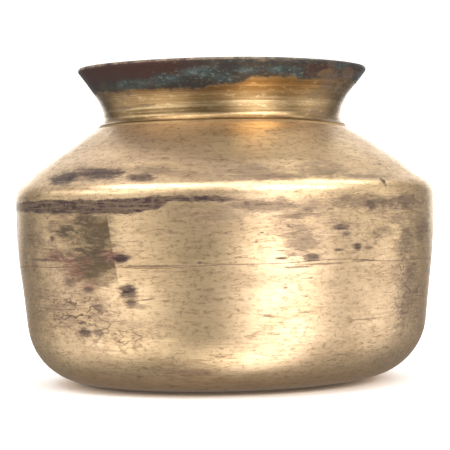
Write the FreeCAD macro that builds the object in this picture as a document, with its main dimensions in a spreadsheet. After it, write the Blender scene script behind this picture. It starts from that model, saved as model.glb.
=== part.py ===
"""Beaten brass kalash, a wide-mouthed water pot, made of three sheet pieces and two brazed joints.

The pot stands on the XY plane with its axis on +Z. The origin is the centre of the flat that it rests on.
Every piece is a sketch of its section in the XZ plane, turned about Z. Lengths are in mm.

    bottom_bowl       base and lower wall, raised from one disc; its thinned edge is the lap's outer side
    shoulder_shell    upper wall, shoulder and the upstand inside the neck
    neck_collar       flared neck with a thickened lip; its foot sits on the shoulder, round the upstand
    wall_seam_braze   spelter in the lap joint round the wall
    neck_seam_braze   spelter between the collar and the upstand
"""

import FreeCAD, Part
import os

import Sketcher

SIZES = [
    # Outside of the body, as the corners of a section whose corners are then rounded.
    ("rest_radius", 68.5, "corner where the flat rest turns up into the base"),
    ("rest_rounding", 190.0, "rounding of that corner"),
    ("heel_radius", 111.5, "corner between the base and the wall"),
    ("heel_height", 6.5, "its height"),
    ("heel_rounding", 36.0, "rounding of the heel"),
    ("belly_radius", 120.0, "widest corner of the wall, where it turns upright"),
    ("belly_height", 84.0, "its height"),
    ("belly_rounding", 230.0, "rounding of the belly"),
    ("shoulder_radius", 120.0, "corner between the wall and the shoulder"),
    ("shoulder_height", 111.7, "its height"),
    ("shoulder_rounding", 6.0, "rounding of the shoulder's edge"),
    ("slope_radius", 103.1, "slight bend half way up the shoulder"),
    ("slope_height", 125.0, "its height"),
    ("slope_rounding", 70.0, "rounding of that bend"),
    ("upstand_radius", 67.0, "outside of the upstand that the collar fits round"),
    ("upstand_height", 149.9, "corner where the shoulder turns up into it"),
    # Outside of the collar.
    ("foot_radius", 71.0, "outer edge of the collar's foot"),
    ("foot_depth", 0.8, "foot's top above the shoulder, straight up"),
    ("waist_radius", 68.4, "narrowest corner of the collar"),
    ("waist_rounding", 5.0, "rounding of the waist"),
    ("neck_radius", 69.4, "corner where the neck starts to flare"),
    ("neck_height", 160.3, "its height"),
    ("neck_rounding", 24.0, "rounding of that corner"),
    ("rim_radius", 84.65, "corner of the flare and the top of the lip, before rounding"),
    ("rim_height", 180.4, "top of the lip, the pot's full height"),
    ("lip_rounding", 1.6, "rounding of the lip's outer edge"),
    # Inside of the collar.
    ("throat_height", 155.3, "bottom of the collar's inner wall, above the upstand"),
    ("bore_radius", 67.4, "inside of the neck where the flare starts"),
    ("bore_height", 161.3, "its height"),
    ("bore_rounding", 24.0, "rounding inside the neck"),
    ("lip_foot_radius", 79.9, "inner edge of the thickened lip"),
    ("lip_foot_height", 177.8, "where the thickened lip meets the flare"),
    ("lip_inner_rounding", 0.4, "rounding of the lip's inner edge"),
    # Sheet and joints.
    ("wall", 1.5, "thickness of the body's sheet"),
    ("seam_height", 70.0, "outer line of the joint round the wall"),
    ("seam_lap", 8.0, "height over which the two edges lap"),
    ("lap_skin", 0.6, "what is left of each edge in the lap"),
    ("braze_gap", 0.3, "thickness of the spelter"),
    ("clear_cut", 4.0, "how far a cut runs past the sheet"),
]

# Inside and outside of the sloping wall at a height, and the slope of the shoulder at a radius.
WALL_SLOPE = (
    "(Sizes.belly_radius - Sizes.heel_radius) / (Sizes.belly_height - Sizes.heel_height)"
)
WALL_AT = f"Sizes.heel_radius + {WALL_SLOPE} * ({{height}} - Sizes.heel_height)"
WALL_ACROSS = f"Sizes.wall * sqrt(1 + pow({WALL_SLOPE}; 2))"
SHOULDER_SLOPE = (
    "(Sizes.upstand_height - Sizes.slope_height) / (Sizes.slope_radius - Sizes.upstand_radius)"
)
SHOULDER_AT = f"Sizes.upstand_height + {SHOULDER_SLOPE} * (Sizes.upstand_radius - {{radius}})"

SEAM_TOP = "(Sizes.seam_height + Sizes.braze_gap)"
LAP_BOTTOM = "(Sizes.seam_height - Sizes.seam_lap)"
LAP_BOTTOM_TOP = f"({LAP_BOTTOM} + Sizes.braze_gap)"
COLLAR_BORE = "(Sizes.upstand_radius + Sizes.braze_gap)"
UPSTAND_TOP = "(Sizes.throat_height - Sizes.braze_gap)"
UPSTAND_BORE = "(Sizes.upstand_radius - Sizes.wall)"


def wall_at(height, inward="0"):
    """Radius of the wall's outer face at a height, less a distance across to the inside."""
    return f"{WALL_AT.format(height=height)} - {inward}"


def shoulder_at(radius, rise="0"):
    """Height of the shoulder's outer face at a radius, plus a rise."""
    return f"{SHOULDER_AT.format(radius=radius)} + {rise}"


def make_sizes(document):
    """The sheet that every sketch and feature takes its sizes from."""
    sheet = document.addObject("Spreadsheet::Sheet", "Sizes")
    for row, (alias, value, note) in enumerate(SIZES, start=1):
        sheet.set(f"A{row}", alias)
        sheet.set(f"B{row}", str(value))
        sheet.set(f"C{row}", note)
        sheet.setAlias(f"B{row}", alias)
    document.recompute()
    return sheet


def make_body(document, label):
    body = document.addObject("PartDesign::Body", label)
    body.Label = label
    return body


def draw_section(body, name, corners):
    """A closed sketch in the XZ plane, from corners (radius, height) or (radius, height, rounding)."""
    sketch = body.newObject("Sketcher::SketchObject", name)
    plane = next(f for f in body.Origin.OriginFeatures if f.Role == "XZ_Plane")
    sketch.AttachmentSupport = [(plane, "")]
    sketch.MapMode = "FlatFace"
    places = [
        FreeCAD.Vector(*(float(sketch.evalExpression(e)) for e in corner[:2]), 0)
        for corner in corners
    ]
    count = len(corners)
    lines = [
        sketch.addGeometry(Part.LineSegment(places[i], places[(i + 1) % count]))
        for i in range(count)
    ]
    for i in range(count):
        sketch.addConstraint(
            Sketcher.Constraint("Coincident", lines[i - 1], 2, lines[i], 1)
        )
    for i, corner in enumerate(corners):
        if len(corner) == 3:
            point = round_corner(sketch, lines[i - 1], lines[i], places, i, corner[2])
        else:
            point = (lines[i], 1)
        fix_point(sketch, point, places[i], corner)
    return sketch


def round_corner(sketch, before, after, places, i, rounding):
    """Rounds one corner with a tangent arc and returns the point that keeps the sharp corner's place."""
    radius = float(sketch.evalExpression(rounding))
    here, back = places[i], places[i - 1]
    ahead = places[(i + 1) % len(places)]
    near = 0.4  # how far along each line it is picked, from the corner
    arc = sketch.GeometryCount
    sketch.fillet(
        before,
        after,
        here + (back - here) * near,
        here + (ahead - here) * near,
        radius,
        True,
        True,
    )
    bound = sketch.addConstraint(Sketcher.Constraint("Radius", arc, radius))
    sketch.setExpression(f"Constraints[{bound}]", rounding)
    return (arc + 1, 1)


def fix_point(sketch, point, place, corner):
    """Ties a sketch point's two coordinates to their expressions, or to an axis where one is 0."""
    origin = (-1, 1)
    for kind, axis, value, expression in (
        ("DistanceX", -2, place.x, corner[0]),
        ("DistanceY", -1, place.y, corner[1]),
    ):
        if abs(value) < 1e-9:
            sketch.addConstraint(Sketcher.Constraint("PointOnObject", *point, axis))
            continue
        bound = sketch.addConstraint(Sketcher.Constraint(kind, *origin, *point, value))
        sketch.setExpression(f"Constraints[{bound}]", expression)


def turn(body, sketch, name="Revolution", kind="PartDesign::Revolution"):
    """Turns a section about Z: a Revolution adds it and a Groove cuts it."""
    feature = body.newObject(kind, name)
    feature.Profile = sketch
    feature.ReferenceAxis = (sketch, ["V_Axis"])
    feature.Angle = 360
    body.Document.recompute()
    return feature


def hollow(body, solid, heights):
    """Leaves a wall of the sheet's thickness, open at the flat faces at these heights."""
    shape = solid.Shape
    openings = [
        f"Face{i}"
        for i, face in enumerate(shape.Faces, start=1)
        if isinstance(face.Surface, Part.Plane)
        and any(abs(face.CenterOfMass.z - height) < 1e-6 for height in heights)
    ]
    if len(openings) != len(heights):
        raise RuntimeError(f"{body.Label}: expected {len(heights)} open faces")
    shell = body.newObject("PartDesign::Thickness", "Sheet")
    shell.Base = (solid, openings)
    shell.Reversed = True
    shell.setExpression("Value", "Sizes.wall")
    body.Document.recompute()
    return shell


def cut_lap(body, corners):
    """Thins a sheet's edge with a turned cut, and makes sure that the cut took something."""
    before = body.Shape.Volume
    turn(body, draw_section(body, "LapSection", corners), "Lap", "PartDesign::Groove")
    if body.Shape.Volume > before - 1:
        raise RuntimeError(f"{body.Label}: the lap cut nothing")


def bottom_bowl(document):
    body = make_body(document, "bottom_bowl")
    section = draw_section(
        body,
        "Outside",
        [
            ("0", "0"),
            ("Sizes.rest_radius", "0", "Sizes.rest_rounding"),
            ("Sizes.heel_radius", "Sizes.heel_height", "Sizes.heel_rounding"),
            (wall_at("Sizes.seam_height"), "Sizes.seam_height"),
            ("0", "Sizes.seam_height"),
        ],
    )
    top = float(body.evalExpression("Sizes.seam_height"))
    hollow(body, turn(body, section), [top])
    # The inner half of the edge goes, which leaves the outer lap skin.
    above = "(Sizes.seam_height + Sizes.clear_cut)"
    inside = "(Sizes.heel_radius - Sizes.clear_cut)"
    cut_lap(
        body,
        [
            (wall_at(LAP_BOTTOM, "Sizes.lap_skin"), LAP_BOTTOM),
            (wall_at(above, "Sizes.lap_skin"), above),
            (inside, above),
            (inside, LAP_BOTTOM),
        ],
    )
    return body


def shoulder_shell(document):
    body = make_body(document, "shoulder_shell")
    section = draw_section(
        body,
        "Outside",
        [
            ("0", LAP_BOTTOM_TOP),
            (wall_at(LAP_BOTTOM_TOP), LAP_BOTTOM_TOP),
            ("Sizes.belly_radius", "Sizes.belly_height", "Sizes.belly_rounding"),
            ("Sizes.shoulder_radius", "Sizes.shoulder_height", "Sizes.shoulder_rounding"),
            ("Sizes.slope_radius", "Sizes.slope_height", "Sizes.slope_rounding"),
            ("Sizes.upstand_radius", "Sizes.upstand_height"),
            ("Sizes.upstand_radius", UPSTAND_TOP),
            ("0", UPSTAND_TOP),
        ],
    )
    heights = [float(body.evalExpression(e)) for e in (LAP_BOTTOM_TOP, UPSTAND_TOP)]
    hollow(body, turn(body, section), heights)
    # The outer half of the lower edge goes, which leaves the inner lap skin.
    inner_skin = "(Sizes.lap_skin + Sizes.braze_gap)"
    below = "(Sizes.seam_height - Sizes.seam_lap - Sizes.clear_cut)"
    outside = "(Sizes.belly_radius + Sizes.clear_cut)"
    cut_lap(
        body,
        [
            (wall_at(below, inner_skin), below),
            (outside, below),
            (outside, SEAM_TOP),
            (wall_at(SEAM_TOP, inner_skin), SEAM_TOP),
        ],
    )
    return body


def neck_collar(document):
    body = make_body(document, "neck_collar")
    foot_top = "Sizes.foot_depth"
    turn(
        body,
        draw_section(
            body,
            "Section",
            [
                (COLLAR_BORE, shoulder_at(COLLAR_BORE, "Sizes.braze_gap")),
                ("Sizes.foot_radius", shoulder_at("Sizes.foot_radius", "Sizes.braze_gap")),
                ("Sizes.foot_radius", shoulder_at("Sizes.foot_radius", foot_top)),
                (
                    "Sizes.waist_radius",
                    shoulder_at("Sizes.waist_radius", foot_top),
                    "Sizes.waist_rounding",
                ),
                ("Sizes.neck_radius", "Sizes.neck_height", "Sizes.neck_rounding"),
                ("Sizes.rim_radius", "Sizes.rim_height", "Sizes.lip_rounding"),
                ("Sizes.lip_foot_radius", "Sizes.rim_height", "Sizes.lip_inner_rounding"),
                ("Sizes.lip_foot_radius", "Sizes.lip_foot_height"),
                ("Sizes.bore_radius", "Sizes.bore_height", "Sizes.bore_rounding"),
                (UPSTAND_BORE, "Sizes.throat_height"),
                (COLLAR_BORE, "Sizes.throat_height"),
            ],
        ),
    )
    return body


def wall_seam_braze(document):
    body = make_body(document, "wall_seam_braze")
    inner_skin = "(Sizes.lap_skin + Sizes.braze_gap)"
    across = f"({WALL_ACROSS})"
    turn(
        body,
        draw_section(
            body,
            "Section",
            [
                (wall_at(LAP_BOTTOM, across), LAP_BOTTOM),
                (wall_at(LAP_BOTTOM, "Sizes.lap_skin"), LAP_BOTTOM),
                (wall_at("Sizes.seam_height", "Sizes.lap_skin"), "Sizes.seam_height"),
                (wall_at("Sizes.seam_height"), "Sizes.seam_height"),
                (wall_at(SEAM_TOP), SEAM_TOP),
                (wall_at(SEAM_TOP, inner_skin), SEAM_TOP),
                (wall_at(LAP_BOTTOM_TOP, inner_skin), LAP_BOTTOM_TOP),
                (wall_at(LAP_BOTTOM_TOP, across), LAP_BOTTOM_TOP),
            ],
        ),
    )
    return body


def neck_seam_braze(document):
    body = make_body(document, "neck_seam_braze")
    turn(
        body,
        draw_section(
            body,
            "Section",
            [
                ("Sizes.upstand_radius", "Sizes.upstand_height"),
                ("Sizes.foot_radius", shoulder_at("Sizes.foot_radius")),
                ("Sizes.foot_radius", shoulder_at("Sizes.foot_radius", "Sizes.braze_gap")),
                (COLLAR_BORE, shoulder_at(COLLAR_BORE, "Sizes.braze_gap")),
                (COLLAR_BORE, "Sizes.throat_height"),
                (UPSTAND_BORE, "Sizes.throat_height"),
                (UPSTAND_BORE, UPSTAND_TOP),
                ("Sizes.upstand_radius", UPSTAND_TOP),
            ],
        ),
    )
    return body


def check(document, bodies):
    """Stops before anything is written if the document or a piece is not sound."""
    for thing in document.Objects:
        if {"Invalid", "Error"} & set(thing.State):
            raise RuntimeError(f"{thing.Label} failed: {thing.State}")
    for body in bodies:
        if body.Shape.isNull() or not body.Shape.isValid() or len(body.Shape.Solids) != 1:
            raise RuntimeError(f"{body.Label} has no valid solid")


def main():
    document = FreeCAD.newDocument("kalash")
    make_sizes(document)
    makers = (bottom_bowl, shoulder_shell, neck_collar, wall_seam_braze, neck_seam_braze)
    bodies = [make(document) for make in makers]
    document.recompute()
    check(document, bodies)
    os.makedirs("parts", exist_ok=True)
    for body in bodies:
        body.Shape.exportStep(os.path.join("parts", f"{body.Label}.step"))
        box = body.Shape.BoundBox
        print(f"{body.Label}: {body.Shape.Volume / 1000:.1f} cm3, z {box.ZMin:.2f} to {box.ZMax:.2f}")
    return document


main()
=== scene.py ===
"""A hand-beaten brass kalash pot on a pale studio floor.

The five CAD pieces are shown by denser copies of themselves. They are turned from the same sections and then
beaten out of true by one shared warp, so that their joints still meet. The wear and tarnish are in the
materials, placed by the angle round the pot (degrees, 0 at the front, positive to the right) and the height.
Lengths are in metres.
"""

import functools
import math
from types import SimpleNamespace

import bpy
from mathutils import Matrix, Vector, noise


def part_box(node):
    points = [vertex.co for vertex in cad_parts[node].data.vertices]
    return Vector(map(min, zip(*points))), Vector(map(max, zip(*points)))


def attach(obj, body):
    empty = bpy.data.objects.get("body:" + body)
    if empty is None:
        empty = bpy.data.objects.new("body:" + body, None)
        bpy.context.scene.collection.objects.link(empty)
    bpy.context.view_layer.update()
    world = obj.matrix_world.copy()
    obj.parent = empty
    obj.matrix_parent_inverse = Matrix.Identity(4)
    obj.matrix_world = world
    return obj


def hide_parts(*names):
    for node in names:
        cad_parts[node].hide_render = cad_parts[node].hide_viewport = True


MM = 0.001
# A point nearer to the axis than this is on it.
ON_AXIS = 1e-6
BODY_SEGMENTS = 480
NECK_SEGMENTS = 720


# ----------------------------------------------------------------------------------------------------------
# Sections, as corners (radius, height, rounding) on the pot's outside
# ----------------------------------------------------------------------------------------------------------


class Sizes:
    """The pot's driving sizes. Those that the CAD pieces' boxes show are read from them."""

    def __init__(self):
        bowl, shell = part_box("bottom_bowl"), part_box("shoulder_shell")
        collar, wall_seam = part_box("neck_collar"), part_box("wall_seam_braze")
        neck_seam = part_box("neck_seam_braze")
        self.belly = shell[1][0]
        self.rim_height = collar[1][2]
        self.seam_height = bowl[1][2]
        self.seam_top = wall_seam[1][2]
        self.lap_bottom = wall_seam[0][2]
        self.gap = self.seam_top - self.seam_height
        self.upstand_top = shell[1][2]
        self.throat_height = neck_seam[1][2]
        self.foot_radius = neck_seam[1][0]
        self.wall = 1.5 * MM
        self.skin = 0.6 * MM
        # The shoulder cone, from its lower edge up to the upstand.
        self.cone_radius = 103.1 * MM
        self.cone_height = 125 * MM
        self.upstand_radius = 67.0 * MM
        self.upstand_foot = 149.9 * MM
        # The neck's waist outside and inside, and its mouth.
        self.collar_side = 68.4 * MM
        self.waist = (69.4 * MM, 160.3 * MM)
        self.inner_waist = (67.4 * MM, 161.3 * MM)
        self.waist_rounding = 24 * MM
        self.lip_radius = 84.65 * MM
        self.mouth_radius = 79.9 * MM
        self.mouth_height = 177.8 * MM

    def bore(self):
        """The inner radius of the shoulder's upstand."""
        return self.upstand_radius - self.wall

    def collar_bore(self):
        """The inner radius of the collar, a spelter gap outside the upstand."""
        return self.upstand_radius + self.gap

    def above_cone(self, radius, lift):
        """A point at a radius, lifted off the straight shoulder cone."""
        slope = (self.upstand_foot - self.cone_height) / (self.cone_radius - self.upstand_radius)
        return radius, self.upstand_foot + slope * (self.upstand_radius - radius) + lift


def rounded(corners, step):
    """Points about a step apart along straight lines whose corners (radius, height, rounding) are rounded."""
    points = [Vector(corners[0][:2])]
    for before, here, after in zip(corners, corners[1:], corners[2:]):
        corner = Vector(here[:2])
        to_before = (Vector(before[:2]) - corner).normalized()
        to_after = (Vector(after[:2]) - corner).normalized()
        rounding = here[2] if len(here) > 2 else 0.0
        if rounding == 0.0:
            points.append(corner)
            continue
        opening = to_before.angle(to_after)
        start = corner + to_before * rounding / math.tan(opening / 2)
        centre = corner + (to_before + to_after).normalized() * rounding / math.sin(opening / 2)
        turn = (math.pi - opening) * (1 if to_before.cross(to_after) < 0 else -1)
        count = max(4, math.ceil(abs(turn) * rounding / step))
        for i in range(count + 1):
            points.append(centre + rotated(start - centre, turn * i / count))
    points.append(Vector(corners[-1][:2]))
    return filled(points, step)


def rotated(vector, angle):
    """A vector turned anticlockwise."""
    cosine, sine = math.cos(angle), math.sin(angle)
    return Vector((vector.x * cosine - vector.y * sine, vector.x * sine + vector.y * cosine))


def filled(points, step):
    """The same line with extra points, so that none is further than a step from the next."""
    line = [points[0]]
    for point in points[1:]:
        gap = point - line[-1]
        if gap.length < 1e-7:
            continue
        count = max(1, math.ceil(gap.length / step))
        start = line[-1]
        line.extend(start + gap * i / count for i in range(1, count + 1))
    return line


def inset(line, distance):
    """A line moved sideways, to the left of its direction."""
    moved = []
    for i, point in enumerate(line):
        along = (line[min(i + 1, len(line) - 1)] - line[max(i - 1, 0)]).normalized()
        moved.append(point + Vector((-along.y, along.x)) * distance)
    return moved


def body_corners(sizes):
    """The outside of the body from the centre of its base to the foot of the upstand."""
    return [
        (0, 0),
        (68.5 * MM, 0, 190 * MM),
        (111.5 * MM, 6.5 * MM, 36 * MM),
        (sizes.belly, 84 * MM, 230 * MM),
        (sizes.belly, 111.7 * MM, 8 * MM),
        (sizes.cone_radius, sizes.cone_height, 70 * MM),
        (sizes.upstand_radius, sizes.upstand_foot),
    ]


def cut_line(line, low, high):
    """The part of a rising line between two heights, with its ends exactly there."""
    kept = [point for point in line if low < point.y < high]
    return [at_height(line, low)] + kept + [at_height(line, high)]


def at_height(line, height):
    """The point of a rising line at a height."""
    for start, end in zip(line, line[1:]):
        if start.y <= height <= end.y and end.y > start.y:
            return start.lerp(end, (height - start.y) / (end.y - start.y))
    return line[0] if height <= line[0].y else line[-1]


# ----------------------------------------------------------------------------------------------------------
# The warp: how far the beaten pot is out of true
# ----------------------------------------------------------------------------------------------------------


def smooth(low, high, value):
    """0 below low, 1 above high and a smooth step between."""
    share = min(1.0, max(0.0, (value - low) / (high - low)))
    return share * share * (3 - 2 * share)


def bump(centre, spread, value):
    """1 at the centre, fading to both sides."""
    return math.exp(-(((value - centre) / spread) ** 2))


def seam_wave(angle):
    """How far the wall's joint wanders up and down round the pot."""
    slow = 0.9 * math.sin(2 * angle + 0.9)
    middle = 0.7 * math.sin(5 * angle - 0.6)
    quick = 0.5 * math.sin(11 * angle + 2.0)
    return (slow + middle + quick) * MM


def warped(point, sizes):
    """A point of the true shape moved to where the beaten pot has it."""
    x, y, z = point
    radius = math.hypot(x, y)
    if radius < ON_AXIS:
        return Vector(point)
    angle = math.atan2(x, -y)
    out = Vector((x, y, 0)) / radius
    on_wall = smooth(8 * MM, 25 * MM, z)
    rightward = x / radius
    # Long waves in the wall and the small flats left by planishing.
    place = Vector((x, y, z))
    swell = 0.22 * MM * noise.noise(place * 14) * on_wall
    flats = 0.10 * MM * noise.noise(place * 55 + Vector((9, 4, 1))) * on_wall
    # The shoulder and neck sit a little to the left, and the shoulder has sunk on the right.
    lean = -0.45 * MM * smooth(112 * MM, 120 * MM, z) * (1 - 0.7 * smooth(162 * MM, 174 * MM, z))
    sunk = 0.9 * MM * smooth(108 * MM, 120 * MM, z) + 0.8 * MM * bump(144 * MM, 7 * MM, z)
    sink = -sunk * (1 - smooth(149 * MM, 155 * MM, z)) * smooth(0.3, 1.0, rightward)
    rise = seam_wave(angle) * bump(sizes.seam_height, 9 * MM, z) * smooth(100 * MM, 112 * MM, radius)
    # The heel dips on the left and lifts on the right.
    heel = 0.007 * x * (1 - smooth(12 * MM, 34 * MM, z)) * smooth(55 * MM, 85 * MM, radius)
    # The rim is higher on the left and a little wavy.
    on_rim = smooth(150 * MM, 178 * MM, z)
    rim_rise = (-0.008 * x + 0.2 * MM * math.sin(3 * angle + 1.0)) * on_rim
    rim_out = 0.3 * MM * noise.noise(Vector((x * 22, y * 22, 3.0))) * on_rim
    shift = Vector((lean, 0, sink + rise + heel + rim_rise))
    return place + shift + out * (swell + flats + rim_out)


# ----------------------------------------------------------------------------------------------------------
# Meshes
# ----------------------------------------------------------------------------------------------------------


def turned(name, outer, inner, segments, sizes, materials):
    """A closed ring or bowl from its outer line and its inner line, both from the bottom up."""
    section = list(outer) + list(reversed(inner))
    faces, verts, face_slots = [], [], []
    is_bowl = outer[0].x < ON_AXIS
    rows = []
    for point in section:
        if point.x < ON_AXIS:
            rows.append([len(verts)])
            verts.append(warped((0, 0, point.y), sizes))
            continue
        rows.append(list(range(len(verts), len(verts) + segments)))
        for j in range(segments):
            angle = 2 * math.pi * j / segments
            true_place = (point.x * math.sin(angle), -point.x * math.cos(angle), point.y)
            verts.append(warped(true_place, sizes))
    pairs = list(zip(rows, rows[1:]))
    if not is_bowl:
        pairs.append((rows[-1], rows[0]))
    for i, (low, high) in enumerate(pairs):
        inside = len(outer) <= i + 1 < len(rows)
        for j in range(segments):
            k = (j + 1) % segments
            if len(low) == 1:
                faces.append((low[0], high[k], high[j]))
            elif len(high) == 1:
                faces.append((low[j], low[k], high[0]))
            else:
                faces.append((low[j], low[k], high[k], high[j]))
            face_slots.append(1 if inside and len(materials) > 1 else 0)
    mesh = bpy.data.meshes.new(name)
    mesh.from_pydata(verts, [], faces)
    for material in materials:
        mesh.materials.append(material)
    mesh.polygons.foreach_set("material_index", face_slots)
    mesh.polygons.foreach_set("use_smooth", [True] * len(faces))
    mesh.update()
    mesh.set_sharp_from_angle(angle=math.radians(40))
    piece = bpy.data.objects.new(name, mesh)
    bpy.context.scene.collection.objects.link(piece)
    return piece


def settle(piece, node):
    """Ties a piece to the CAD: it rides on the root and stands for its node, which is hidden."""
    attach(piece, "root")
    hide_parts(node)


def thinned(line, every):
    """Every so many points of a line, always with both its ends."""
    return line[:-1:every] + [line[-1]]


def make_bowl(sizes, line, materials):
    """The base and the lower wall, up to the outer edge of its lap."""
    outer = cut_line(line, 0, sizes.seam_height)
    outer[0] = Vector((0, 0))
    inner = cut_line(inset(line, sizes.wall), sizes.wall, sizes.lap_bottom)
    inner[0] = Vector((0, sizes.wall))
    inner_skin = inset(line, sizes.skin)
    tongue = [at_height(inner_skin, sizes.lap_bottom), at_height(inner_skin, sizes.seam_height)]
    piece = turned("pot_bottom", outer, thinned(inner, 2) + tongue, BODY_SEGMENTS, sizes, materials)
    settle(piece, "bottom_bowl")


def make_shoulder(sizes, line, materials):
    """The upper wall, from the inner tongue of its lap, the shoulder and the upstand inside the neck."""
    upstand = filled([line[-1], Vector((line[-1].x, sizes.upstand_top))], 1.0 * MM)
    inner_skin = inset(line, sizes.skin + sizes.gap)
    low = sizes.lap_bottom + sizes.gap
    tongue = [at_height(inner_skin, low), at_height(inner_skin, sizes.seam_top)]
    outer = tongue + cut_line(line + upstand[1:], sizes.seam_top, sizes.upstand_top)
    bore = sizes.bore()
    inner = [point for point in cut_line(inset(line, sizes.wall), low, line[-1].y) if point.x > bore]
    inner += filled([Vector((bore, line[-1].y + 0.5 * MM)), Vector((bore, sizes.upstand_top))], 2 * MM)
    piece = turned("pot_shoulder", outer, thinned(inner, 2), BODY_SEGMENTS, sizes, materials)
    settle(piece, "shoulder_shell")


def make_neck(sizes, materials):
    """The flared collar, from its chamfered foot on the shoulder to the lip."""
    outer = rounded(
        [
            sizes.above_cone(sizes.collar_bore(), sizes.gap),
            sizes.above_cone(sizes.foot_radius - 0.5 * MM, sizes.gap),
            sizes.above_cone(sizes.foot_radius - 1.5 * MM, 0.8 * MM),
            (*sizes.above_cone(sizes.collar_side, 0.8 * MM), 5 * MM),
            (*sizes.waist, sizes.waist_rounding),
            (sizes.lip_radius, sizes.rim_height, 1.6 * MM),
            (sizes.mouth_radius, sizes.rim_height, 0.4 * MM),
            (sizes.mouth_radius, sizes.mouth_height),
        ],
        0.6 * MM,
    )
    inner = rounded(
        [
            (sizes.collar_bore(), sizes.throat_height),
            (sizes.bore(), sizes.throat_height),
            (*sizes.inner_waist, sizes.waist_rounding),
            (sizes.mouth_radius, sizes.mouth_height),
        ],
        1.5 * MM,
    )
    piece = turned("pot_neck", outer, inner[:-1], NECK_SEGMENTS, sizes, materials)
    settle(piece, "neck_collar")


def make_wall_seam(sizes, line, materials):
    """The spelter between the wall's two laps, down its outside, through the joint and along its inside."""
    low = sizes.lap_bottom
    outer_skin, inner_skin = inset(line, sizes.skin), inset(line, sizes.skin + sizes.gap)
    outer = [
        at_height(outer_skin, low),
        at_height(outer_skin, sizes.seam_height),
        at_height(line, sizes.seam_height),
        at_height(line, sizes.seam_top),
    ]
    inner = [
        at_height(inset(line, sizes.wall), low),
        at_height(inset(line, sizes.wall), low + sizes.gap),
        at_height(inner_skin, low + sizes.gap),
        at_height(inner_skin, sizes.seam_top),
    ]
    piece = turned("seam_wall", outer, inner, BODY_SEGMENTS, sizes, materials)
    settle(piece, "wall_seam_braze")


def make_neck_seam(sizes, materials):
    """The spelter between the collar and the upstand, with a small fillet at the collar's foot."""
    foot, outside = sizes.foot_radius, sizes.collar_bore()
    outer = [
        Vector(sizes.above_cone(foot + 1.0 * MM, 0)),
        Vector(sizes.above_cone(foot - 1.2 * MM, 0.75 * MM)),
        Vector(sizes.above_cone(foot - 0.5 * MM, sizes.gap)),
        Vector(sizes.above_cone(outside, sizes.gap)),
        Vector((outside, sizes.throat_height)),
    ]
    inner = [
        Vector((sizes.upstand_radius, sizes.upstand_foot)),
        Vector((sizes.upstand_radius, sizes.upstand_top)),
        Vector((sizes.bore(), sizes.upstand_top)),
        Vector((sizes.bore(), sizes.throat_height)),
    ]
    piece = turned("seam_neck", outer, inner, BODY_SEGMENTS, sizes, materials)
    settle(piece, "neck_seam_braze")


# ----------------------------------------------------------------------------------------------------------
# Materials
# ----------------------------------------------------------------------------------------------------------


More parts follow.
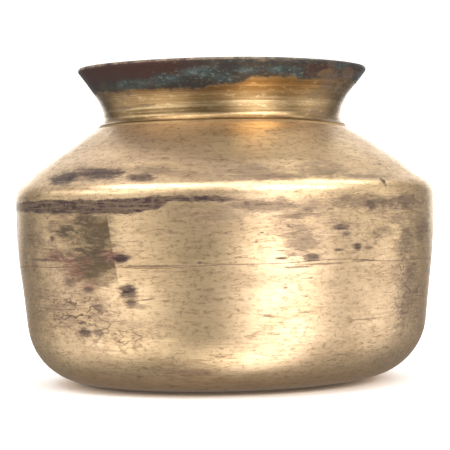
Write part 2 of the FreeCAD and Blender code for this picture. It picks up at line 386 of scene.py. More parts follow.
class Graph:
    """The nodes of a new material or world, built with short calls that return output sockets."""

    def __init__(self, owner):
        self.owner = owner
        owner.use_nodes = True
        self.tree = owner.node_tree
        self.tree.nodes.clear()

    def add(self, kind, **settings):
        """A new node with its settings."""
        node = self.tree.nodes.new(kind)
        for key, value in settings.items():
            setattr(node, key, value)
        return node

    def put(self, socket, value):
        """Gives an input its value or links an output to it."""
        if isinstance(value, bpy.types.NodeSocket):
            self.tree.links.new(value, socket)
        else:
            socket.default_value = value

    def math(self, operation, *values, clamp=False):
        """One step of arithmetic."""
        node = self.add("ShaderNodeMath", operation=operation, use_clamp=clamp)
        for socket, value in zip(node.inputs, values):
            self.put(socket, value)
        return node.outputs[0]

    def vector(self, operation, *values):
        """One step of vector arithmetic."""
        node = self.add("ShaderNodeVectorMath", operation=operation)
        for socket, value in zip(node.inputs, values):
            self.put(socket, value)
        return node.outputs["Value" if operation == "LENGTH" else "Vector"]

    def smooth(self, value, zero, one, top=1.0):
        """0 where the value is at zero and top where it is at one, smooth between, whichever is larger."""
        node = self.add("ShaderNodeMapRange", interpolation_type="SMOOTHSTEP")
        low, high = min(zero, one), max(zero, one)
        self.put(node.inputs["Value"], value)
        self.put(node.inputs["From Min"], low)
        self.put(node.inputs["From Max"], high)
        self.put(node.inputs["To Min"], 0.0 if zero < one else top)
        self.put(node.inputs["To Max"], top if zero < one else 0.0)
        return node.outputs["Result"]

    def blend(self, share, first, second):
        """The first colour turning into the second as the share goes from 0 to 1."""
        node = self.add("ShaderNodeMix", data_type="RGBA", blend_type="MIX")
        self.put(node.inputs["Factor"], share)
        self.put(node.inputs[6], first if isinstance(first, bpy.types.NodeSocket) else (*first, 1))
        self.put(node.inputs[7], second if isinstance(second, bpy.types.NodeSocket) else (*second, 1))
        return node.outputs[2]

    def product(self, *values):
        """Several values multiplied together."""
        return functools.reduce(lambda total, value: self.math("MULTIPLY", total, value), values)

    def largest(self, *values):
        """The largest of several values."""
        return functools.reduce(lambda total, value: self.math("MAXIMUM", total, value), values)

    def noise(self, place, stretch, detail, roughness, offset=(0, 0, 0)):
        """Noise with so many features a metre along X, Y and Z."""
        moved = self.vector("ADD", self.vector("MULTIPLY", place, stretch), offset)
        node = self.add("ShaderNodeTexNoise")
        self.put(node.inputs["Vector"], moved)
        self.put(node.inputs["Scale"], 1.0)
        self.put(node.inputs["Detail"], detail)
        self.put(node.inputs["Roughness"], roughness)
        return node.outputs["Fac"]

    def wander(self, place):
        """A slow wander between -0.5 and 0.5."""
        return self.math("SUBTRACT", self.noise(place, (30, 30, 60), 2.0, 0.5, (8, 8, 3)), 0.5)

    def hairlines(self, place, stretch, width, offset):
        """Fine wandering lines, where a noise crosses its middle value."""
        field = self.noise(place, stretch, 1.0, 0.5, offset)
        return self.smooth(self.math("ABSOLUTE", self.math("SUBTRACT", field, 0.5)), width, width * 0.2)

    def patches(self, chart, ragged, table, soft=0.7):
        """Ragged ovals on a chart of angle and height, from rows as in UMBER_PATCHES."""
        total = 0.0
        for angle, height, half_width, half_height, strength in table:
            away = self.vector("SUBTRACT", chart, (angle, height, 0))
            away = self.vector("MULTIPLY", away, (1 / half_width, 1 / half_height, 0))
            reach = self.math("ADD", self.vector("LENGTH", away), ragged)
            share = self.smooth(reach, 1.2, 1.2 - soft, strength)
            total = self.math("MAXIMUM", total, share)
        return total

    def curve(self, value, points):
        """A smooth curve through (value, result) points."""
        low, high = points[0][0], points[-1][0]
        results = [result for _, result in points]
        bottom, top = min(results), max(results)
        node = self.add("ShaderNodeFloatCurve")
        line = node.mapping.curves[0]
        for i, (position, result) in enumerate(points):
            spot = ((position - low) / (high - low), (result - bottom) / (top - bottom))
            if i in (0, len(points) - 1):
                line.points[-1 if i else 0].location = spot
            else:
                line.points.new(*spot)
        node.mapping.update()
        share = self.math("DIVIDE", self.math("SUBTRACT", value, low), high - low, clamp=True)
        self.put(node.inputs["Value"], share)
        return self.math("MULTIPLY_ADD", node.outputs[0], top - bottom, bottom)

    def finish(self, colour, metallic, roughness, relief, depth):
        """The surface shader and its bump, whose relief of 1 stands a depth in metres proud."""
        shader = self.add("ShaderNodeBsdfPrincipled")
        self.put(shader.inputs["Base Color"], colour)
        self.put(shader.inputs["Metallic"], metallic)
        self.put(shader.inputs["Roughness"], roughness)
        bump_node = self.add("ShaderNodeBump")
        self.put(bump_node.inputs["Distance"], depth)
        self.put(bump_node.inputs["Height"], relief)
        self.put(shader.inputs["Normal"], bump_node.outputs["Normal"])
        output = self.add("ShaderNodeOutputMaterial")
        self.tree.links.new(shader.outputs[0], output.inputs[0])
        return self.owner


# The tarnish, which follows the real pot's at the front. Each patch has its angle round the pot and its height,
# then its half width and half height, all in degrees and millimetres, and its strength from 0 to 1.
# Dark brown stains.
UMBER_PATCHES = [
    (-49, 117.2, 9, 4.0, 1.0),
    (-38, 119.6, 10, 3.6, 0.95),
    (-22, 116.8, 6.0, 3.0, 0.95),
    (-20, 119.8, 8, 3.2, 0.6),
    (-9, 117.6, 7, 2.6, 0.5),
    (7, 119.0, 12, 3.4, 0.6),
    (12, 116.0, 13, 2.2, 0.7),
    (27, 119.0, 10, 3.4, 0.7),
    (30, 122.4, 8, 2.6, 0.6),
    (41, 115.4, 11, 1.5, 0.7),
    (-60, 73.6, 10, 0.8, 0.8),
    (-17, 70.6, 11, 0.7, 0.75),
    (-6.5, 72.0, 1.2, 1.3, 0.95),
    (-3, 71.4, 5, 0.6, 0.7),
    (14, 73.6, 2.2, 0.8, 0.9),
    (18, 68.8, 4, 0.6, 0.7),
    (25, 70.0, 7, 0.6, 0.7),
    (38, 70.8, 4, 0.8, 0.8),
    (-2, 96.0, 9, 2.0, 0.35),
    (-14, 88.0, 4, 2.0, 0.35),
    (45, 86.0, 5, 3.0, 0.4),
    (56, 80.0, 5, 12.0, 0.6),
    (60, 58.0, 5, 16.0, 0.65),
    (64, 90.0, 6, 12.0, 0.6),
    (58, 38.0, 5, 10.0, 0.5),
    (-64, 70.0, 4, 22.0, 0.4),
    (50, 92.0, 5, 2.6, 0.5),
    (45.7, 112.3, 1.2, 2.5, 1.0),
    (10, 101.0, 11, 4.0, 0.75),
    (21, 100.2, 9, 5.0, 0.5),
    (38, 101.8, 13, 3.6, 0.7),
    (40, 100.0, 2.8, 4.2, 0.9),
    (56, 101.5, 12, 4.6, 0.8),
    (19, 82.0, 5.5, 10.0, 0.6),
    (17, 96.0, 5.0, 3.0, 0.6),
    (22, 73.6, 3.2, 2.4, 0.9),
    (18.8, 79.4, 3.4, 3.0, 0.6),
    (30.6, 88.6, 3.0, 1.7, 0.95),
    (32, 85.4, 1.6, 1.6, 0.8),
    (29.5, 76.9, 1.8, 1.0, 0.95),
    (35.6, 78.4, 1.5, 1.8, 0.95),
    (39, 77.6, 2.0, 1.0, 0.6),
    (-27.2, 74.6, 3.2, 2.2, 1.0),
    (-25.9, 57.6, 2.6, 4.2, 1.0),
    (-25.4, 51.6, 2.4, 2.8, 0.9),
    (-23.6, 49.8, 3.2, 1.4, 0.5),
    (-41.7, 40.5, 1.6, 1.2, 0.9),
    (-41.1, 35.6, 2.4, 3.0, 0.85),
    (-36.1, 35.6, 2.2, 2.6, 0.7),
    (-35.6, 48.5, 2.4, 2.4, 0.7),
    (-38.5, 58.5, 2.0, 1.8, 0.8),
    (-51.0, 85.0, 1.2, 2.0, 0.9),
    (-58.0, 88.0, 2.4, 5.0, 0.5),
    (-45.1, 61.0, 2.4, 3.0, 0.6),
    (34, 21.4, 4.5, 0.8, 0.6),
    (-7.6, 14.6, 3.0, 2.0, 0.5),
    (-16, 16.0, 10, 1.0, 0.35),
]
# A thin brown haze, which only shows where the metal is mottled.
HAZE_PATCHES = [
    (-45, 83, 17, 22, 1.0),
    (-45, 48, 19, 14, 0.9),
    (-33, 36, 19, 12, 0.6),
    (-60, 60, 10, 50, 0.8),
    (-4, 92, 14, 10, 0.45),
    (22, 92, 12, 15, 1.0),
    (25, 80, 10, 10, 0.7),
    (36, 84, 12, 11, 1.0),
    (58, 62, 9, 50, 0.7),
    (66, 70, 8, 50, 0.8),
    (45, 98, 24, 9, 0.95),
    (10, 62, 16, 6, 0.25),
    (26, 60, 9, 6, 0.35),
    (-40, 120, 22, 6, 0.9),
    (20, 120, 24, 6, 0.5),
    (-8, 146, 40, 4, 0.4),
    (-15, 12, 40, 7, 0.5),
    (30, 14, 30, 6, 0.35),
]
# Stains that are less dark and a little yellower.
OLIVE_PATCHES = [
    (-44, 88.5, 5.0, 4.0, 0.95),
    (-38, 93, 5.0, 6.5, 0.95),
    (-35, 86, 6.5, 6.5, 0.9),
    (-31.5, 96, 3.5, 4.0, 0.6),
    (-30.5, 82, 4.0, 6.0, 0.7),
    (-36, 79, 8.0, 6.0, 0.95),
    (-32, 74.5, 5.0, 5.0, 0.9),
    (-45, 76, 8.0, 4.0, 0.8),
    (-37, 69, 6.0, 5.0, 0.8),
    (-35, 62, 4.0, 3.0, 0.6),
]
# Dull red and pink blotches.
RUST_PATCHES = [
    (-50, 75, 6, 5, 0.9),
    (-43, 73, 7, 5, 0.8),
    (-29.5, 76, 5, 4, 0.7),
    (-43, 65, 5, 6, 0.95),
    (-38, 60, 4, 4, 0.7),
    (-9, 14.5, 7, 2.2, 0.5),
]
# Nets of fine crazing.
SCRATCHED_PATCHES = [
    (-44, 45, 18, 16, 1.0),
    (-30, 33, 14, 10, 0.8),
    (36, 86, 12, 12, 0.35),
    (56, 60, 9, 40, 0.7),
    (28, 34, 22, 14, 0.35),
]
# Where the corrosion under the lip has come off, and where it is red or green.
BARE_PATCHES = [
    (47, 172.5, 6, 3.4, 0.75),
    (61, 174.0, 5, 2.6, 0.5),
    (14, 178.4, 3, 1.2, 0.4),
    (-140, 172.0, 12, 3.0, 0.6),
]
RED_PATCHES = [
    (42, 175, 9, 3.5, 0.9),
    (38, 171.5, 5, 2.0, 0.5),
    (75, 176, 14, 3.0, 0.6),
    (-130, 175, 30, 5.0, 0.8),
]
GREEN_PATCHES = [
    (-9, 172.6, 9, 4.0, 0.95),
    (-1, 171.0, 8, 3.6, 0.85),
    (-22, 169.8, 12, 3.2, 0.75),
    (-42, 168.4, 16, 2.8, 0.6),
    (8, 173.4, 8, 2.2, 0.7),
    (24, 174.0, 9, 2.4, 0.95),
    (31, 171.0, 4, 2.4, 0.8),
    (55, 176.6, 8, 1.4, 0.6),
    (70, 178.4, 8, 1.0, 0.5),
]
# Streaks and spots on the golden metal of the neck.
NECK_PATCHES = [
    (52, 166.5, 5.0, 2.2, 0.7),
    (50, 171.0, 7.0, 2.6, 0.8),
    (63, 172.0, 6.0, 3.4, 0.75),
    (60, 167.0, 3.0, 3.0, 0.8),
    (57, 163.5, 2.4, 2.2, 0.9),
    (46, 161.5, 5.0, 3.0, 0.35),
    (48, 152.6, 6.0, 1.2, 0.5),
    (55, 151.6, 4.0, 1.0, 0.7),
    (-52, 161.8, 3.0, 1.8, 0.4),
    (-46, 164.0, 2.4, 1.6, 0.7),
    (-38, 157.0, 9.0, 0.8, 0.5),
    (-50, 156.4, 6.0, 1.2, 0.4),
]
# Lines round the pot, as (angle, height): the top and the foot of the dark band under the shoulder, and the
# lower edge of the black corrosion under the lip.
BAND_TOP = [
    (-180, 106.5),
    (-65, 105.5),
    (-48, 106.5),
    (-30, 106),
    (-10, 107),
    (4, 105),
    (20, 104),
    (180, 106),
]
BAND_FOOT = [
    (-180, 101),
    (-65, 99.5),
    (-38, 98),
    (-21, 98.5),
    (-16, 101),
    (-10, 103.5),
    (4, 103),
    (20, 103.5),
    (180, 102),
]
RIM_BAND = [
    (-180, 168.0),
    (-140, 166.5),
    (-90, 166.0),
    (-59, 165.6),
    (-38, 164.9),
    (-21, 164.6),
    (-3, 165.8),
    (8, 167.0),
    (15, 170.2),
    (30, 170.6),
    (33, 168.8),
    (45, 170.0),
    (69, 170.5),
    (110, 168.0),
    (150, 169.5),
    (180, 168.0),
]
BODY_COLOURS = {
    "yellow": (0.80, 0.58, 0.33),
    "pink": (0.75, 0.54, 0.335),
    "blotch": (0.56, 0.39, 0.22),
    "streak": (0.46, 0.31, 0.17),
    "fine_streak": (0.38, 0.25, 0.14),
    "grain": (0.36, 0.235, 0.13),
    "speckle": (0.34, 0.22, 0.12),
    "pit": (0.17, 0.11, 0.075),
    "haze": (0.18, 0.115, 0.082),
    "label": (0.125, 0.080, 0.040),
    "olive": (0.070, 0.048, 0.026),
    "dark_rust": (0.15, 0.065, 0.05),
    "bright_rust": (0.42, 0.21, 0.16),
    "umber": (0.040, 0.022, 0.021),
    # heel and underside: painted shade, darker towards the floor.
    "heel": (0.62, 0.37, 0.185),
    "underside_shade": (0.06, 0.04, 0.028),
    "scratch": (0.10, 0.058, 0.032),
}
NECK_COLOURS = {
    "light": (0.36, 0.235, 0.11),
    "deep": (0.31, 0.20, 0.092),
    "dark_lathe": (0.24, 0.145, 0.06),
    "bright_lathe": (0.68, 0.51, 0.285),
    "blotch": (0.30, 0.19, 0.10),
    "dark_speck": (0.27, 0.17, 0.08),
    "bright_speck": (0.70, 0.52, 0.29),
    "shade": (0.20, 0.12, 0.055),
    "streak": (0.12, 0.082, 0.06),
    "grime": (0.14, 0.09, 0.055),
}
RIM_COLOURS = {
    "black": (0.024, 0.020, 0.018),
    "brown": (0.048, 0.036, 0.025),
    "red": (0.042, 0.014, 0.010),
    "dark_green": (0.026, 0.042, 0.044),
    "light_green": (0.085, 0.135, 0.135),
    "brass_fleck": (0.12, 0.10, 0.06),
    "green_fleck": (0.15, 0.21, 0.20),
    # worn_lip_and_highlight: brass worn bare on the lip's top edge, lightened further as a painted highlight.
    "worn_lip_and_highlight": (0.34, 0.25, 0.16),
}
# The height of the ridge at the collar's foot, in millimetres.
RIDGE_HEIGHT = 148.3
# How far a material's relief of 1 stands proud.
BODY_RELIEF = 0.09 * MM
NECK_RELIEF = 0.10 * MM
DULL_RELIEF = 0.12 * MM


def surface_chart(graph):
    """Where a point is: its place in metres, its angle in degrees, its height in mm and a chart of both."""
    place = graph.add("ShaderNodeTexCoord").outputs["Object"]
    parts = graph.add("ShaderNodeSeparateXYZ")
    graph.put(parts.inputs[0], place)
    angle = graph.math("ARCTAN2", parts.outputs[0], graph.math("MULTIPLY", parts.outputs[1], -1.0))
    degrees = graph.math("DEGREES", angle)
    height = graph.math("MULTIPLY", parts.outputs[2], 1 / MM)
    chart = graph.add("ShaderNodeCombineXYZ")
    graph.put(chart.inputs[0], degrees)
    graph.put(chart.inputs[1], height)
    return place, degrees, height, chart.outputs[0]


def body_fields(graph):
    """The chart and the noises that the body's layers share."""
    place, degrees, height, chart = surface_chart(graph)
    edge = graph.noise(place, (90, 90, 330), 6.0, 0.75, (1, 8, 2))
    mottling = graph.noise(place, (48, 48, 90), 6.0, 0.68, (7, 7, 1))
    return SimpleNamespace(
        place=place,
        degrees=degrees,
        height=height,
        chart=chart,
        edge=edge,
        ragged=graph.math("MULTIPLY_ADD", edge, 2.6, -1.42),
        cloud=graph.noise(place, (11, 11, 14), 3.0, 0.5),
        blotch=graph.noise(place, (34, 34, 60), 6.0, 0.62, (3, 1, 7)),
        mottled=graph.smooth(mottling, 0.36, 0.62),
        streak=graph.noise(place, (18, 18, 520), 4.0, 0.6),
        fine_streak=graph.noise(place, (60, 60, 1000), 4.0, 0.7, (5, 2, 1)),
        grain=graph.noise(place, (330, 330, 520), 4.0, 0.7),
        speckle=graph.noise(place, (150, 150, 620), 5.0, 0.75, (2, 9, 6)),
        sides=graph.smooth(graph.math("ABSOLUTE", degrees), 64.0, 86.0),
    )


def scoured_metal(graph, at):
    """Yellower and pinker clouds, then browner mottling and streaks along the brushing, and small pits."""
    shades = BODY_COLOURS
    colour = graph.blend(graph.smooth(at.cloud, 0.38, 0.62), shades["yellow"], shades["pink"])
    colour = graph.blend(graph.smooth(at.blotch, 0.40, 0.68, 0.6), colour, shades["blotch"])
    colour = graph.blend(graph.smooth(at.streak, 0.50, 0.74, 0.35), colour, shades["streak"])
    colour = graph.blend(graph.smooth(at.fine_streak, 0.50, 0.72, 0.42), colour, shades["fine_streak"])
    colour = graph.blend(graph.smooth(at.grain, 0.50, 0.70, 0.75), colour, shades["grain"])
    colour = graph.blend(graph.smooth(at.speckle, 0.52, 0.68, 0.7), colour, shades["speckle"])
    pits = graph.smooth(graph.noise(at.place, (230, 230, 420), 2.0, 0.5, (4, 4, 9)), 0.66, 0.76, 0.9)
    pits = graph.math("MULTIPLY", pits, graph.smooth(at.blotch, 0.42, 0.60))
    return graph.blend(pits, colour, shades["pit"]), pits


def label_shadow(graph, at):
    """A square of darker metal where something was once stuck on, with one crisp edge that leans."""
    crisp_edge = graph.math("MULTIPLY_ADD", at.height, -0.068, -24.3)
    inside = graph.smooth(graph.math("SUBTRACT", crisp_edge, at.degrees), -0.25, 0.25)
    left = graph.smooth(at.degrees, -50.0, -36.0)
    low = graph.smooth(at.height, 58.0, 66.0)
    high = graph.smooth(at.height, 101.0, 92.0)
    square = graph.product(graph.math("MULTIPLY", inside, left), graph.math("MULTIPLY", low, high))
    return graph.product(
        square,
        graph.smooth(at.speckle, 0.22, 0.46),
        graph.math("MULTIPLY_ADD", at.mottled, 0.50, 0.48),
    )


def dark_band(graph, at):
    """The band under the shoulder: whole on the front's left, and in stretches round the sides and back."""
    wavy = graph.math("MULTIPLY_ADD", graph.math("SUBTRACT", at.edge, 0.5), 7.0, at.height)
    above_foot = graph.math("SUBTRACT", wavy, graph.curve(at.degrees, BAND_FOOT))
    below_top = graph.math("SUBTRACT", graph.curve(at.degrees, BAND_TOP), wavy)
    front = graph.product(graph.smooth(at.degrees, 16.0, -2.0), graph.smooth(at.degrees, -90.0, -66.0))
    stretches = graph.product(at.sides, graph.smooth(at.cloud, 0.44, 0.56))
    return graph.product(
        graph.smooth(above_foot, -0.7, 0.9),
        graph.smooth(below_top, -0.7, 0.9),
        graph.largest(front, stretches),
    )


def stained(graph, at, colour):
    """The stained colour and how tarnished it is: placed stains at the front, chance ones elsewhere."""
    shades = BODY_COLOURS
    haze = graph.product(graph.patches(at.chart, at.ragged, HAZE_PATCHES, 1.0), at.mottled)
    chance = graph.product(at.sides, at.mottled, graph.smooth(at.cloud, 0.46, 0.62, 0.8))
    haze = graph.largest(haze, chance)
    worn = graph.product(graph.smooth(at.fine_streak, 0.72, 0.44), graph.smooth(at.grain, 0.72, 0.44))
    umber = graph.largest(graph.patches(at.chart, at.ragged, UMBER_PATCHES, 0.9), dark_band(graph, at))
    umber = graph.product(umber, graph.math("MULTIPLY_ADD", worn, 0.3, 0.7))
    olive = graph.patches(at.chart, at.ragged, OLIVE_PATCHES, 0.9)
    rust = graph.patches(at.chart, at.ragged, RUST_PATCHES, 0.9)
    rust = graph.product(rust, graph.smooth(at.edge, 0.40, 0.58))

    streaky_haze = graph.product(haze, graph.smooth(at.fine_streak, 0.74, 0.40, 0.9))
    colour = graph.blend(streaky_haze, colour, shades["haze"])
    colour = graph.blend(label_shadow(graph, at), colour, shades["label"])
    speckled_olive = graph.product(olive, graph.smooth(at.speckle, 0.72, 0.46))
    colour = graph.blend(speckled_olive, colour, shades["olive"])
    speckles = graph.smooth(at.speckle, 0.46, 0.62)
    colour = graph.blend(rust, colour, graph.blend(speckles, shades["dark_rust"], shades["bright_rust"]))
    colour = graph.blend(umber, colour, shades["umber"])
    # Painted shade: the base turns browner and darker towards the floor, darkest where it meets it, standing in
    # for the floor's shadow seen in the metal.
    colour = graph.blend(graph.smooth(at.height, 17.0, 4.0, 0.7), colour, shades["heel"])
    colour = graph.blend(graph.smooth(at.height, 4.0, 0.8, 0.9), colour, shades["underside_shade"])
    return colour, graph.largest(umber, olive, graph.math("MULTIPLY", haze, 0.35))


def scratches(graph, at):
    """Hairlines, mostly along the brushing and broken into short lengths, and nets of crazing in patches."""
    bend = (0, 0, 6 * MM)
    bent = graph.vector("MULTIPLY_ADD", graph.wander(at.place), bend, at.place)
    long_lines = graph.hairlines(bent, (24, 24, 330), 0.018, (2, 2, 2))
    short_lines = graph.hairlines(bent, (55, 55, 560), 0.026, (6, 1, 5))
    crazed = graph.hairlines(bent, (110, 110, 230), 0.045, (4, 7, 7))
    crazed_parts = graph.patches(at.chart, at.ragged, SCRATCHED_PATCHES, 1.0)
    return graph.largest(
        graph.product(long_lines, graph.smooth(at.edge, 0.47, 0.60, 0.65)),
        graph.product(short_lines, graph.smooth(at.blotch, 0.44, 0.60, 0.45)),
        graph.product(crazed, crazed_parts, graph.smooth(at.edge, 0.38, 0.52, 0.9)),
    )


def body_brass():
    """Old scoured brass: brushed, scratched and mottled, with its stains."""
    graph = Graph(bpy.data.materials.new("aged_brass"))
    at = body_fields(graph)
    colour, pits = scoured_metal(graph, at)
    colour, tarnish = stained(graph, at, colour)
    lines = scratches(graph, at)
    colour = graph.blend(lines, colour, BODY_COLOURS["scratch"])
    marks = graph.largest(lines, pits)
    tarnish = graph.largest(tarnish, graph.math("MULTIPLY", marks, 0.5))
    metallic = graph.math("MULTIPLY_ADD", tarnish, -0.4, 1.0)
    rough = graph.math("MULTIPLY_ADD", at.blotch, 0.22, 0.23)
    rough = graph.math("MULTIPLY_ADD", tarnish, 0.20, rough)
    rough = graph.math("MULTIPLY_ADD", at.fine_streak, 0.06, rough)
    relief = graph.math("MULTIPLY_ADD", at.fine_streak, 0.5, graph.math("MULTIPLY", at.grain, 0.4))
    relief = graph.math("MULTIPLY_ADD", marks, -0.35, relief)
    relief = graph.math("MULTIPLY_ADD", at.blotch, 1.2, relief)
    return graph.finish(colour, metallic, rough, relief, BODY_RELIEF)


def neck_fields(graph):
    """The chart and the noises that the neck's layers share."""
    place, degrees, height, chart = surface_chart(graph)
    edge = graph.noise(place, (110, 110, 210), 5.0, 0.7, (1, 8, 2))
    jag = graph.math("SUBTRACT", edge, 0.5)
    return SimpleNamespace(
        place=place,
        degrees=degrees,
        height=height,
        chart=chart,
        edge=edge,
        jag=jag,
        ragged=graph.math("MULTIPLY", jag, 3.4),
        cloud=graph.noise(place, (14, 14, 30), 3.0, 0.5),
        blotch=graph.noise(place, (60, 60, 130), 6.0, 0.65, (3, 1, 7)),
        lathe=graph.noise(place, (9, 9, 760), 5.0, 0.7, (2, 5, 3)),
        grain=graph.noise(place, (420, 420, 600), 4.0, 0.7),
        speckle=graph.noise(place, (190, 190, 620), 5.0, 0.75, (2, 9, 6)),
    )


def turned_metal(graph, at):
    """Golden metal with lathe lines, blotches and specks."""
    shades = NECK_COLOURS
    colour = graph.blend(graph.smooth(at.cloud, 0.38, 0.62), shades["light"], shades["deep"])
    colour = graph.blend(graph.smooth(at.lathe, 0.46, 0.64, 0.75), colour, shades["dark_lathe"])
    colour = graph.blend(graph.smooth(at.lathe, 0.50, 0.30, 0.8), colour, shades["bright_lathe"])
    colour = graph.blend(graph.smooth(at.blotch, 0.50, 0.72, 0.6), colour, shades["blotch"])
    colour = graph.blend(graph.smooth(at.speckle, 0.52, 0.68, 0.7), colour, shades["dark_speck"])
    return graph.blend(graph.smooth(at.speckle, 0.46, 0.32, 0.6), colour, shades["bright_speck"])


def rim_corrosion(graph, at):
    """The corrosion's colour: black, with red-brown above on the left and verdigris at the front, and a lighter
    lip edge that is partly worn brass and partly a painted highlight.
    """
    shades = RIM_COLOURS
    rim = graph.blend(graph.smooth(at.blotch, 0.42, 0.60), shades["black"], shades["brown"])
    jagged_height = graph.math("MULTIPLY_ADD", at.jag, 6.0, at.height)
    upper, left = graph.smooth(jagged_height, 169.5, 173.0), graph.smooth(at.degrees, 0.0, -22.0)
    red_spots = graph.patches(at.chart, graph.math("MULTIPLY", at.jag, 2.5), RED_PATCHES)
    red = graph.largest(graph.product(upper, left), red_spots)
    red = graph.product(red, graph.smooth(at.lathe, 0.25, 0.50, 0.95))
    rim = graph.blend(red, rim, shades["red"])

    sides = graph.smooth(graph.math("ABSOLUTE", at.degrees), 66.0, 84.0)
    chance = graph.product(sides, graph.smooth(at.cloud, 0.48, 0.60, 0.8))
    green = graph.largest(graph.patches(at.chart, at.ragged, GREEN_PATCHES, 1.0), chance)
    green = graph.product(green, graph.smooth(at.blotch, 0.34, 0.56))
    greens = graph.blend(graph.smooth(at.edge, 0.40, 0.62), shades["dark_green"], shades["light_green"])
    rim = graph.blend(green, rim, greens)

    flecks = graph.smooth(graph.noise(at.place, (420, 420, 620), 3.0, 0.7, (6, 2, 2)), 0.54, 0.66, 0.6)
    brass_flecks = graph.product(flecks, graph.smooth(at.degrees, -40.0, 0.0))
    rim = graph.blend(brass_flecks, rim, shades["brass_fleck"])
    rim = graph.blend(graph.product(flecks, green), rim, shades["green_fleck"])
    # The lip's top edge: partly worn bare brass, partly a painted highlight.
    lip_wear_and_highlight = graph.product(graph.smooth(at.height, 178.9, 179.8, 0.6), graph.smooth(at.edge, 0.40, 0.62))
    return graph.blend(lip_wear_and_highlight, rim, shades["worn_lip_and_highlight"])


def neck_brass():
    """The turned neck, with red, green and black corrosion under the lip."""
    graph = Graph(bpy.data.materials.new("neck_brass"))
    at = neck_fields(graph)
    above = graph.math("SUBTRACT", at.height, graph.curve(at.degrees, RIM_BAND))
    above = graph.math("MULTIPLY_ADD", at.jag, 7.0, above)
    bare = graph.patches(at.chart, at.ragged, BARE_PATCHES, 0.9)
    dark = graph.product(graph.smooth(above, -1.0, 1.0), graph.math("SUBTRACT", 1.0, bare))
    colour = turned_metal(graph, at)
    colour = graph.blend(graph.smooth(above, -4.5, 0.5, 0.6), colour, NECK_COLOURS["shade"])
    colour = graph.blend(dark, colour, rim_corrosion(graph, at))
    streaks = graph.patches(at.chart, at.ragged, NECK_PATCHES, 0.8)
    colour = graph.blend(streaks, colour, NECK_COLOURS["streak"])
    from_ridge = graph.math("ABSOLUTE", graph.math("SUBTRACT", at.height, RIDGE_HEIGHT))
    grime = graph.product(graph.smooth(from_ridge, 1.2, 0.3), graph.smooth(at.blotch, 0.44, 0.60, 0.45))
    colour = graph.blend(grime, colour, NECK_COLOURS["grime"])

    tarnish = graph.largest(dark, graph.math("MULTIPLY", streaks, 0.7))
    metallic = graph.math("MULTIPLY_ADD", tarnish, -0.6, 1.0)
    rough = graph.math("MULTIPLY_ADD", at.blotch, 0.16, 0.24)
    rough = graph.math("MULTIPLY_ADD", tarnish, 0.28, rough)
    relief = graph.math("MULTIPLY_ADD", at.lathe, 1.1, graph.math("MULTIPLY", at.grain, 0.3))
    relief = graph.math("MULTIPLY_ADD", graph.product(dark, at.blotch), 1.5, relief)
    return graph.finish(colour, metallic, rough, relief, NECK_RELIEF)


def dull_brass(name, light, dark, fine):
    """Metal that is never polished: the inside, and the brazing. Its grain has so many features a metre."""
    graph = Graph(bpy.data.materials.new(name))
    place, _, height, _ = surface_chart(graph)
    cloud = graph.noise(place, (20, 20, 26), 5.0, 0.6)
    blotch = graph.noise(place, (90, 90, 150), 6.0, 0.65, (3, 1, 7))
    grain = graph.noise(place, (fine, fine, fine * 1.6), 4.0, 0.7)
    blotch_colour = tuple(part * 0.45 for part in light)
    grain_colour = tuple(part * 0.5 for part in dark)
    colour = graph.blend(graph.smooth(cloud, 0.36, 0.62), light, dark)
    colour = graph.blend(graph.smooth(blotch, 0.46, 0.70, 0.7), colour, blotch_colour)
    colour = graph.blend(graph.smooth(grain, 0.56, 0.74, 0.6), colour, grain_colour)
    # The corrosion comes over the lip and a little way down the inside.
    lip = graph.smooth(graph.math("MULTIPLY_ADD", blotch, 12.0, height), 178.0, 182.0, 0.9)
    lip_colour = graph.blend(graph.smooth(grain, 0.46, 0.60), (0.04, 0.032, 0.026), (0.07, 0.09, 0.08))
    colour = graph.blend(lip, colour, lip_colour)
    metallic = graph.math("MULTIPLY_ADD", graph.largest(blotch, lip), -0.5, 1.0)
    rough = graph.math("MULTIPLY_ADD", cloud, 0.3, 0.36)
    relief = graph.math("MULTIPLY_ADD", blotch, 1.0, graph.math("MULTIPLY", grain, 0.5))
    return graph.finish(colour, metallic, rough, relief, DULL_RELIEF)


# ----------------------------------------------------------------------------------------------------------
# Floor, light and camera
# ----------------------------------------------------------------------------------------------------------


def make_floor():
    """A plain pale floor, 8 m square."""
    reach = 4.0
    corners = [(-reach, -reach, 0), (reach, -reach, 0), (reach, reach, 0), (-reach, reach, 0)]
    mesh = bpy.data.meshes.new("floor")
    mesh.from_pydata(corners, [], [(0, 1, 2, 3)])
    graph = Graph(bpy.data.materials.new("pale_floor"))
    shader = graph.add("ShaderNodeBsdfDiffuse")
    shader.inputs["Color"].default_value = (0.95, 0.95, 0.95, 1)
    output = graph.add("ShaderNodeOutputMaterial")
    graph.tree.links.new(shader.outputs[0], output.inputs[0])
    mesh.materials.append(graph.owner)
    floor = bpy.data.objects.new("floor", mesh)
    # The lit table in PANELS stands in for what the metal would see in the floor.
    floor.visible_glossy = False
    floor.visible_shadow = False
    bpy.context.scene.collection.objects.link(floor)


# The studio round the pot. Each soft panel has its angle round the pot (0 at the camera, positive to the
# right) and its elevation, then its half width and half height, all in degrees, and its strength.
PANELS = {
    "key_panel": (40, 30, 40, 20, 12),
    "ceiling": (0, 65, 100, 45, 3),
    "ceiling_left": (-60, 55, 60, 22, 8),
    "ceiling_right": (100, 65, 35, 40, 8),
    "ceiling_back_left": (-145, 60, 45, 25, 1.6),
    "left_strip": (-65, 20, 70, 15, 4),
    "table_pool_right": (32, -15, 34, 40, 4.2),
    "table_pool_left": (-60, -25, 45, 35, 2.5),
    "table_front": (20, -60, 60, 35, 4),
    "left_side": (-105, -20, 30, 50, 1.2),
    "right_side": (95, -10, 40, 60, 1.5),
    "backdrop": (180, 30, 90, 30, 1.5),
    "backdrop_foot": (180, 5, 45, 15, 7),
}
# The rest of the table, below the horizon, and the even white that the camera and the floor see.
TABLE_LIGHT = 0.22
WHITE_LIGHT = 1.25


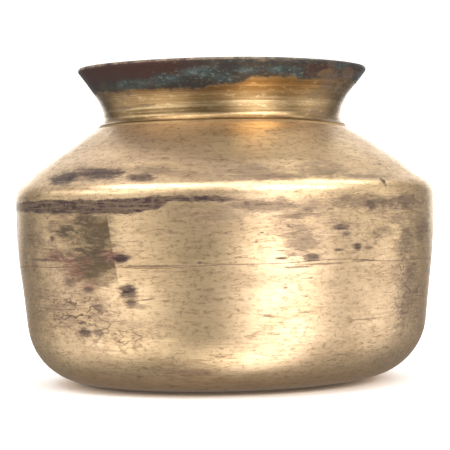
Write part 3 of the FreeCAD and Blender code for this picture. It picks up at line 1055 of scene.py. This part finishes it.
def panel_light(graph, around, elevation):
    """The strength of the studio's light from a direction."""
    total = graph.smooth(elevation, -2.0, -12.0, TABLE_LIGHT)
    for angle, height, half_width, half_height, strength in PANELS.values():
        across = graph.math("WRAP", graph.math("SUBTRACT", around, angle), 180.0, -180.0)
        up = graph.math("SUBTRACT", elevation, height)
        offset = graph.add("ShaderNodeCombineXYZ")
        graph.put(offset.inputs[0], graph.math("DIVIDE", across, half_width))
        graph.put(offset.inputs[1], graph.math("DIVIDE", up, half_height))
        reach = graph.vector("LENGTH", offset.outputs[0])
        total = graph.math("ADD", total, graph.smooth(reach, 1.0, 0.0, strength))
    return total


def make_light():
    """A pale studio by direction: soft panels above, a lit table below and a bright backdrop behind."""
    world = bpy.data.worlds.new("studio")
    bpy.context.scene.world = world
    graph = Graph(world)
    parts = graph.add("ShaderNodeSeparateXYZ")
    graph.put(parts.inputs[0], graph.add("ShaderNodeTexCoord").outputs["Generated"])
    around = graph.math("ARCTAN2", parts.outputs[0], graph.math("MULTIPLY", parts.outputs[1], -1.0))
    around = graph.math("DEGREES", around)
    elevation = graph.math("DEGREES", graph.math("ARCSINE", parts.outputs[2]))
    path = graph.add("ShaderNodeLightPath")
    plain = graph.largest(path.outputs["Is Camera Ray"], path.outputs["Is Diffuse Ray"])
    strength = graph.add("ShaderNodeMix", data_type="FLOAT")
    graph.put(strength.inputs["Factor"], plain)
    graph.put(strength.inputs[2], panel_light(graph, around, elevation))
    graph.put(strength.inputs[3], WHITE_LIGHT)
    background = graph.add("ShaderNodeBackground")
    graph.put(background.inputs["Color"], (1, 1, 1, 1))
    graph.put(background.inputs["Strength"], strength.outputs[0])
    output = graph.add("ShaderNodeOutputWorld")
    graph.tree.links.new(background.outputs[0], output.inputs[0])
    bpy.context.scene.view_settings.view_transform = "Standard"


def make_camera():
    """A long lens about a metre off, level with the upper wall and rolled a little."""
    distance, height, roll = 1.0409, 0.1031, math.radians(1.1)
    camera = bpy.data.cameras.new("camera")
    camera.sensor_width = 36.0
    camera.lens = 143.8
    camera.shift_y = -0.0513
    camera.shift_x = 0.0007
    holder = bpy.data.objects.new("camera", camera)
    holder.location = (0, -distance, height)
    holder.rotation_euler = (math.pi / 2, roll, 0)
    bpy.context.scene.collection.objects.link(holder)
    bpy.context.scene.camera = holder


def make_pot():
    """All five pieces with their materials."""
    sizes = Sizes()
    body, neck = body_brass(), neck_brass()
    inside = dull_brass("inner_brass", (0.46, 0.32, 0.18), (0.24, 0.16, 0.10), 380)
    spelter = dull_brass("spelter", (0.24, 0.13, 0.075), (0.10, 0.06, 0.042), 700)
    neck_spelter = dull_brass("neck_spelter", (0.46, 0.30, 0.14), (0.26, 0.165, 0.08), 500)
    line = rounded(body_corners(sizes), 1.3 * MM)
    make_bowl(sizes, line, [body, inside])
    make_shoulder(sizes, line, [body, inside])
    make_neck(sizes, [neck, inside])
    make_wall_seam(sizes, line, [spelter])
    make_neck_seam(sizes, [neck_spelter])


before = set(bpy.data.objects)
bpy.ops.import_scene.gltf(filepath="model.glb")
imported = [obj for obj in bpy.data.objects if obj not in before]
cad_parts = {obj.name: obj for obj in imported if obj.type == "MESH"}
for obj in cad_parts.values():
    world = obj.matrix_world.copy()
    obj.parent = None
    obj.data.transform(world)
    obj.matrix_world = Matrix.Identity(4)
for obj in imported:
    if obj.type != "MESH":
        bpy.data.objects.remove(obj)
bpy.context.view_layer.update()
make_pot()
make_floor()
make_light()
make_camera()
